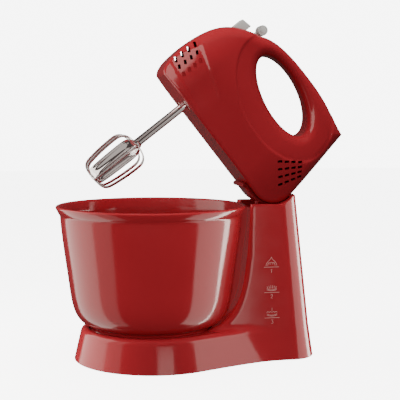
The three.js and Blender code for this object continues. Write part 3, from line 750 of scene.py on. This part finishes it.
def base_outline():
    flank = math.radians(65)
    start = (BASE_CENTRE + BASE_R * math.cos(flank), BASE_R * math.sin(flank))
    waist = start[0] + (start[1] - COLUMN_HALF) / math.tan(math.pi / 2 - flank)
    half, rear = COLUMN_HALF, COLUMN_REAR
    low = arc((BASE_CENTRE, 0), BASE_R, 180, 295, 40)
    low += bezier((start[0], -start[1]), (waist, -half), (waist + 28, -half))
    low += [(rear - 34, -half)]
    low += bezier((rear - 34, -half), (rear - 10, -half), (rear, -half * 0.6), (rear, 0))
    return low + [(x, -y) for x, y in low[-2:0:-1]]


def column_outline():
    half, rear = COLUMN_HALF, COLUMN_REAR
    low = [(60, -half), (rear - 30, -half)]
    low += bezier((rear - 30, -half), (rear - 9, -half), (rear, -half * 0.6), (rear, 0))
    return low + [(x, -y) for x, y in low[-2::-1]]


def sweep_outline():
    curve = [(45, BASE_TOP)] + bezier((45, BASE_TOP), (85, BASE_TOP + 1), (96, 55), (104, 118), count=40)
    return [(45, -20)] + curve + [(107, 220), (230, 220), (230, -20)]


BASE = outline_distance(base_outline())
COLUMN = outline_distance(column_outline())
SWEEP = outline_distance(sweep_outline())


def bowl_clearance(z):
    """Radius kept free around the bowl at each height."""
    rise = np.clip((z - 38) / 60, 0, 1)
    return 76 + 27 * (1 - (1 - rise) ** 2.4) + 9 * ease((z - 70) / 110)


def stand_field(x, y, z):
    lean = 0.235 * (z - BASE_BOTTOM)
    base = rounded_and(BASE(x, y) + lean, z - BASE_TOP, 5.5)
    up = np.clip((z - BASE_BOTTOM) / (COLUMN_TOP - BASE_BOTTOM), 0, 1.1)
    half = COLUMN_HALF + (COLUMN_HALF_TOP - COLUMN_HALF) * up
    rear = COLUMN_REAR + (COLUMN_REAR_TOP - COLUMN_REAR) * up
    stretched = 60 + (x - 60) * (COLUMN_REAR - 60) / (rear - 60)
    plan = COLUMN(stretched, y * COLUMN_HALF / half) * half / COLUMN_HALF
    column = rounded_and(plan, on_plane(SWEEP, x, z), 5)
    reach = bowl_clearance(z) - np.hypot(x, y)
    column = rounded_and(column, np.minimum(reach, z - 36), 3.5)
    dx, dz = x - PIVOT_X, z - PIVOT_Z
    far = np.hypot(dx, dz)
    seat = np.maximum(CORNER_R + 0.7 - far, np.minimum(-2 - dx, dz + CORNER_R + 0.4))
    channel = np.maximum(SEAT_R - far, np.minimum(-6 - dx, dz + SEAT_R + 2.7))
    seat = np.maximum(seat, np.minimum(channel, SEAT_HALF - np.abs(y)))
    column = rounded_and(column, np.maximum(seat, z - COLUMN_TOP), 1.2)
    whole = blended_or(base, column, 7)
    recess = np.minimum(71.5 - np.hypot(x, y), z - 28)
    return rounded_and(whole, recess, 1.2)


def make_stand():
    verts, faces = surface(stand_field, (-94, -99, -9), (192, 99, 190), CELL)
    verts, faces = slice_off(verts, faces, (0, 0, BASE_BOTTOM + 2), (0, 0, -1))
    piece = make("stand_body", verts, faces, STAND, 50)
    thicken(piece, WALL)
    slot = box_tool(PIVOT_X - 17, PIVOT_X + 24, -8, 8, 150, 200, STAND)
    cut_with(piece, [slot, rod_tool(6.5, 0, 60, STAND)])
    wear(piece, "red_plastic", "stand", stands_for=("stand_shell",))
    return piece


# ---- pictograms on the column ---------------------------------------------------------------
def and_mirrored(line):
    return [line, [(-u, v) for u, v in line]]


def pictogram_lines(kind):
    """Simple signs for light, medium and heavy mixes over a rule and a number, about (0, 0)."""
    rule = [[(-8.6, -5), (8.6, -5)]]
    if kind == 0:
        sign = and_mirrored([(6.3, -3.6), (5.6, -0.8), (3.6, 1.6), (1.0, 4.0), (0, 6.4)])
        sign += and_mirrored([(4.2, -3.4), (3.8, -1.4), (2.4, 0.6)])
        sign.append(arc((0, -1.2), 1.6, -40, 220, 10))
        digit = [[(-0.7, -8.2), (0.4, -7.4), (0.0, -11.4)]]
    elif kind == 1:
        sign = [[(u * 0.75, -0.6), (u, 3.6 - abs(u) * 0.32)] for u in (-5.6, -3.4, -1.2, 1.2, 3.4, 5.6)]
        sign += [arc((0, 11.5), 14.6, 246, 294, 12), arc((0, 9.5), 11.6, 240, 300, 12)]
        digit = [arc((0, -8.4), 1.1, 170, -30, 8) + [(-1.2, -11.4), (1.2, -11.4)]]
    else:
        sign = [arc((u, 0.4), 1.5, 20, 160, 6) for u in (-4.6, -1.6, 1.6, 4.6)] + [[(0, 6.2), (0, 2.8)]]
        sign += [arc((0, 11.5), 14.6, 246, 294, 12), arc((0, 9.5), 11.6, 240, 300, 12)]
        digit = [[(-1.0, -7.4), (1.2, -7.4), (0.1, -9.0)] + arc((0, -10.1), 1.2, 80, -140, 8)]
    return sign + rule + digit


def make_pictograms(body):
    """Thin printed lines, laid on the near flank of the column by casting them onto it."""
    width, lift = 0.42, 0.05
    skin = body.data
    tree = BVHTree.FromPolygons([v.co for v in skin.vertices], [tuple(p.vertices) for p in skin.polygons])
    verts, faces = [], []
    for kind, (x, z) in enumerate(((129.8, 110), (130, 81.5), (130.2, 53))):
        for line in pictogram_lines(kind):
            points = np.array(line, float)
            ahead = np.gradient(points, axis=0)
            across = np.stack([-ahead[:, 1], ahead[:, 0]], 1)
            across *= width / 2 / np.maximum(np.linalg.norm(across, axis=1, keepdims=True), 1e-9)
            base = len(verts)
            for point, sign in itertools.product(zip(points, across), (-1, 1)):
                u, v = point[0] + sign * point[1]
                start = STAND @ (Vector((x + u, -100, z + v)) * MM)
                spot, normal, _, _ = tree.ray_cast(start, Vector((0, 1, 0)))
                verts.append(spot + normal * lift * MM)
            faces += [(base + 2 * i, base + 2 * i + 1, base + 2 * i + 3, base + 2 * i + 2)
                      for i in range(len(points) - 1)]
    mesh = bpy.data.meshes.new("pictograms")
    mesh.from_pydata(verts, [], faces)
    wear(show("pictograms", mesh), "print", "stand")


# ---- cradle ------------------------------------------------------------------------------------
def make_cradle():
    inner, outer, half = CORNER_R + 0.35, SEAT_R - 0.7, SEAT_HALF - 0.6
    outline = [(-13, -inner), (0, -inner)] + arc((0, 0), inner, -90, 6)[1:]
    outline += arc((0, 0), outer, 6, -90) + [(-10, -outer)]
    outline += bezier((-10, -outer), (-14.6, -outer + 0.4), (-13, -inner), count=6)[:-1]
    shell = bevelled("cradle_shell", *prism(outline, -half, half), MIXER, 0.8, 3)
    swing = math.radians(-90 + 6 + 26)
    tip = Matrix.Rotation(-(swing + math.pi / 2), 4, "Y")
    corners = itertools.product((-3.2, 3.2), (-7, 7), (-outer + 2, -outer - 17))
    stem_verts = [tuple(tip @ Vector(c)) for c in corners]
    stem_faces = [(0, 1, 3, 2), (4, 6, 7, 5), (0, 4, 5, 1), (2, 3, 7, 6), (0, 2, 6, 4), (1, 5, 7, 3)]
    stem = bevelled("cradle_stem", stem_verts, stem_faces, MIXER, 0.8, 2)
    for side, sign in (("left", 1), ("right", -1)):
        y0, y1 = sorted((10 * sign, 19 * sign))
        peg = bevelled(f"cradle_peg_{side}", *prism([(-13, -inner - 1), (-7, -inner - 1), (-7, -21),
                       (-13, -21)], y0, y1), MIXER, 0.8, 2)
        wear(peg, "red_plastic", "head")
    lip = arc((-14.5, -30.6), 2.6, 0, 360, 24)[:-1]
    knuckle = bevelled("cradle_knuckle", *prism(lip, -half, half), MIXER, 0.6, 3)
    wear(knuckle, "red_plastic", "head")
    wear(stem, "red_plastic", "head")
    wear(shell, "red_plastic", "head", stands_for=("tilt_cradle",))


# ---- CAD nodes that are shown as they are ----------------------------------------------------------
def dress_frame():
    for name, node in frame["nodes"].items():
        finish = FINISHES[SLOT_OF[name]]
        node.data.materials.clear()
        node.data.materials.append(finish)
        node.data.polygons.foreach_set("use_smooth", [True] * len(node.data.polygons))
        node.data.set_sharp_from_angle(angle=math.radians(35))


# ---- studio ----------------------------------------------------------------------------------------
def panel_lamp(name, wide, tall, radiance, spot, turn):
    """A warm flat lamp that the camera doesn't see."""
    lamp = bpy.data.lights.new(name, "AREA")
    lamp.shape = "RECTANGLE"
    lamp.size, lamp.size_y = wide, tall
    lamp.energy = radiance * math.pi * wide * tall
    lamp.color = (1, 0.9, 0.82)
    holder = bpy.data.objects.new(name, lamp)
    holder.location = spot
    holder.rotation_euler = turn
    holder.visible_camera = False
    bpy.context.scene.collection.objects.link(holder)
    return holder


def soft_box(name, turn, away, low, high, half_angle, radiance):
    """An upright panel that faces the bowl's axis; turn is its place round it from the camera's way."""
    angle = math.radians(turn) + math.atan2(-1, 0) - CAMERA_TURN
    spot = Vector((BOWL_AXIS + away * math.cos(angle), away * math.sin(angle), (low + high) / 2))
    facing = Vector((BOWL_AXIS, 0, spot.z)) - spot
    wide = 2 * away * math.tan(math.radians(half_angle))
    return panel_lamp(name, wide, high - low, radiance, spot, facing.to_track_quat("-Z", "Y").to_euler())


def light_only(lamp, group):
    lamp.light_linking.receiver_collection = group
    return lamp


def lit_paper(f, glow):
    """Keeps a pale backdrop bright to the eye, without its glare in the object's gloss."""
    nodes, links = f.tree.nodes, f.tree.links
    shine = f.node("ShaderNodeEmission", Strength=glow)
    total = nodes.new("ShaderNodeAddShader")
    seen = nodes.new("ShaderNodeLightPath")
    mix = nodes.new("ShaderNodeMixShader")
    dim = f.node("ShaderNodeBsdfDiffuse", Color=(0.12, 0.08, 0.08, 1))
    links.new(f.shader.outputs["BSDF"], total.inputs[0])
    links.new(shine.outputs["Emission"], total.inputs[1])
    links.new(seen.outputs["Is Camera Ray"], mix.inputs["Fac"])
    links.new(dim.outputs["BSDF"], mix.inputs[1])
    links.new(total.outputs["Shader"], mix.inputs[2])
    links.new(mix.outputs["Shader"], nodes["Material Output"].inputs["Surface"])


def gathered(*starts):
    """The pieces whose names start in these ways, for lamps that light nothing else."""
    group = bpy.data.collections.new(starts[0])
    for piece in bpy.data.objects:
        if piece.name.startswith(starts):
            group.objects.link(piece)
    return group


def make_floor():
    half = 4000
    floor = make("floor", [(-half, -half, 0), (half, -half, 0), (half, half, 0), (-half, half, 0)],
                 [(0, 1, 2, 3)])
    f = Finish("floor", specular=0.1)
    f.colour(f.noise(3), (0.3, (0.88, 0.88, 0.88)), (0.7, (0.91, 0.91, 0.91)))
    f.rough(f.noise(8), 0.6, 0.7)
    lit_paper(f, 6.0)
    floor.data.materials.append(f.material)
    floor.visible_glossy = False


def make_world():
    """White paper to the camera, an even fill on the surfaces, and a dim room in their gloss."""
    world = bpy.data.worlds.new("studio")
    bpy.context.scene.world = world
    world.use_nodes = True
    nodes, links = world.node_tree.nodes, world.node_tree.links
    room = nodes["Background"]
    room.inputs["Color"].default_value = (1, 0.75, 0.72, 1)
    room.inputs["Strength"].default_value = 0.08
    seen = nodes.new("ShaderNodeLightPath")
    shade = room.outputs["Background"]
    for ray, strength in (("Is Diffuse Ray", 0.65), ("Is Camera Ray", 9.0)):
        light = nodes.new("ShaderNodeBackground")
        light.inputs["Strength"].default_value = strength
        mix = nodes.new("ShaderNodeMixShader")
        links.new(seen.outputs[ray], mix.inputs["Fac"])
        links.new(shade, mix.inputs[1])
        links.new(light.outputs["Background"], mix.inputs[2])
        shade = mix.outputs["Shader"]
    links.new(shade, nodes["World Output"].inputs["Surface"])


def make_lamps():
    """Called when every piece is there, because most of the lamps light only some of them."""
    silver, stand, housing = gathered("beater"), gathered("stand_body"), gathered("housing_shell")
    bowl = gathered("bowl")
    lower = gathered("bowl", "stand", "turntable", "pictograms", "speed", "eject")
    soft_box("left_box", -95, 0.42, -0.6, 0.55, 27, 3.6)
    soft_box("left_box_fade", -55, 0.42, -0.6, 0.55, 13, 1.3)
    light_only(soft_box("right_box", 80, 0.5, -0.6, 0.42, 22, 3.4), lower)
    light_only(soft_box("rear_box", 110, 0.6, -0.6, 0.24, 9, 15), lower)
    fills = [light_only(soft_box("bowl_fill", 0, 0.9, -0.3, 0.4, 20, 4.2), bowl),
             light_only(soft_box("housing_fill", 0, 0.9, 0.1, 0.8, 20, 1.7), housing),
             light_only(soft_box("column_fill", -84, 0.6, 0.0, 0.4, 20, 8), stand),
             panel_lamp("top_box", 1.3, 0.9, 3.81, (0, -0.15, 1.1), (math.radians(6), 0, 0))]
    fills[2].light_linking.blocker_collection = stand  # the bowl throws no shadow from it
    for lamp in fills:
        lamp.visible_glossy = False
    base_low = panel_lamp("low_box", 0.35, 0.72, 3.4, (0.065, -0.9, -0.14), (math.pi / 2, 0, 0))
    light_only(base_low, stand)
    over_nose = light_only(soft_box("nose_box", -24, 0.82, 0.35, 1.5, 22, 4.6), housing)
    over_nose.visible_diffuse = False
    for name, turn, half_angle, radiance in (("front", 0, 24, 0.55), ("left", -52, 13, 1.4),
                                             ("right", 45, 14, 0.4), ("back", 180, 40, 0.5)):
        light_only(soft_box(f"silver_{name}", turn, 0.85, -0.9, 1.2, half_angle, radiance), silver)


def make_camera():
    lens = bpy.data.cameras.new("camera")
    lens.sensor_width = 36
    lens.lens = 87.75
    camera = bpy.data.objects.new("camera", lens)
    turn, tip = CAMERA_TURN, math.radians(4.8)
    away, aside, height = 1.100, -0.0553, 0.277
    ahead = Vector((math.sin(turn), math.cos(turn), 0))
    right = Vector((math.cos(turn), -math.sin(turn), 0))
    camera.location = Vector((BOWL_AXIS, 0, height)) - ahead * away - right * aside
    camera.rotation_euler = (math.pi / 2 - tip, 0, -turn)
    bpy.context.scene.collection.objects.link(camera)
    bpy.context.scene.camera = camera


make_camera()
dress_frame()
make_housing()
make_rear_baffle()
make_eject_button()
make_speed_lever()
make_beaters()
make_bowl()
make_turntable()
make_pictograms(make_stand())
make_cradle()
make_floor()
make_world()
make_lamps()
